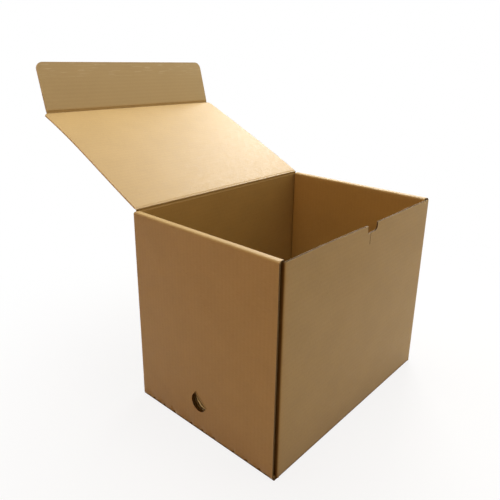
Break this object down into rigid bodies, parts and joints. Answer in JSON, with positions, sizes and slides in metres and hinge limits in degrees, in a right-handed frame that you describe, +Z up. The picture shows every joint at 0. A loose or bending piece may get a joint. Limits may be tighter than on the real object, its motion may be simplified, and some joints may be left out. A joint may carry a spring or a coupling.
{
  "type": "archive box",
  "caption": "Open archive box folded from a sheet of brown corrugated board, with rolled end walls, a hinged lid with a tuck flap, a thumb notch and a push-in finger tab.",
  "frame": {"origin": "middle of the underside of the base, on the surface that the box stands on", "axes": "+Z up; -Y is the front wall with the thumb notch; +Y is the back wall, and the open lid leans that way; -X is the end wall with the finger tab; X runs along the lid's hinge"},
  "size_m": [0.38, 0.5347, 0.4945],
  "materials": {
    "kraft_board": "plain brown kraft liner, matt with a faint sheen"
  },
  "bodies": {
    "carton": {"carton": "kraft_board"},
    "lid": {"lid": "kraft_board"},
    "tuck_flap": {"tuck_flap": "kraft_board"},
    "finger_tab": {"finger_tab": "kraft_board"}
  },
  "joints": [
    {"name": "lid_hinge", "type": "hinge", "parent": "carton", "child": "lid", "pos_m": [0, 0.1348, 0.3015], "axis": [1, 0, 0], "range_deg": [-75, 153.4]},
    {"name": "flap_fold", "type": "hinge", "parent": "lid", "child": "tuck_flap", "pos_m": [0, 0.37606, 0.414], "axis": [1, 0, 0], "range_deg": [-50, 60]},
    {"name": "finger_push", "type": "hinge", "parent": "carton", "child": "finger_tab", "pos_m": [-0.1888, -0.00085, 0.05411], "axis": [0, -0.7771, -0.6293], "range_deg": [-25, 45]}
  ]
}
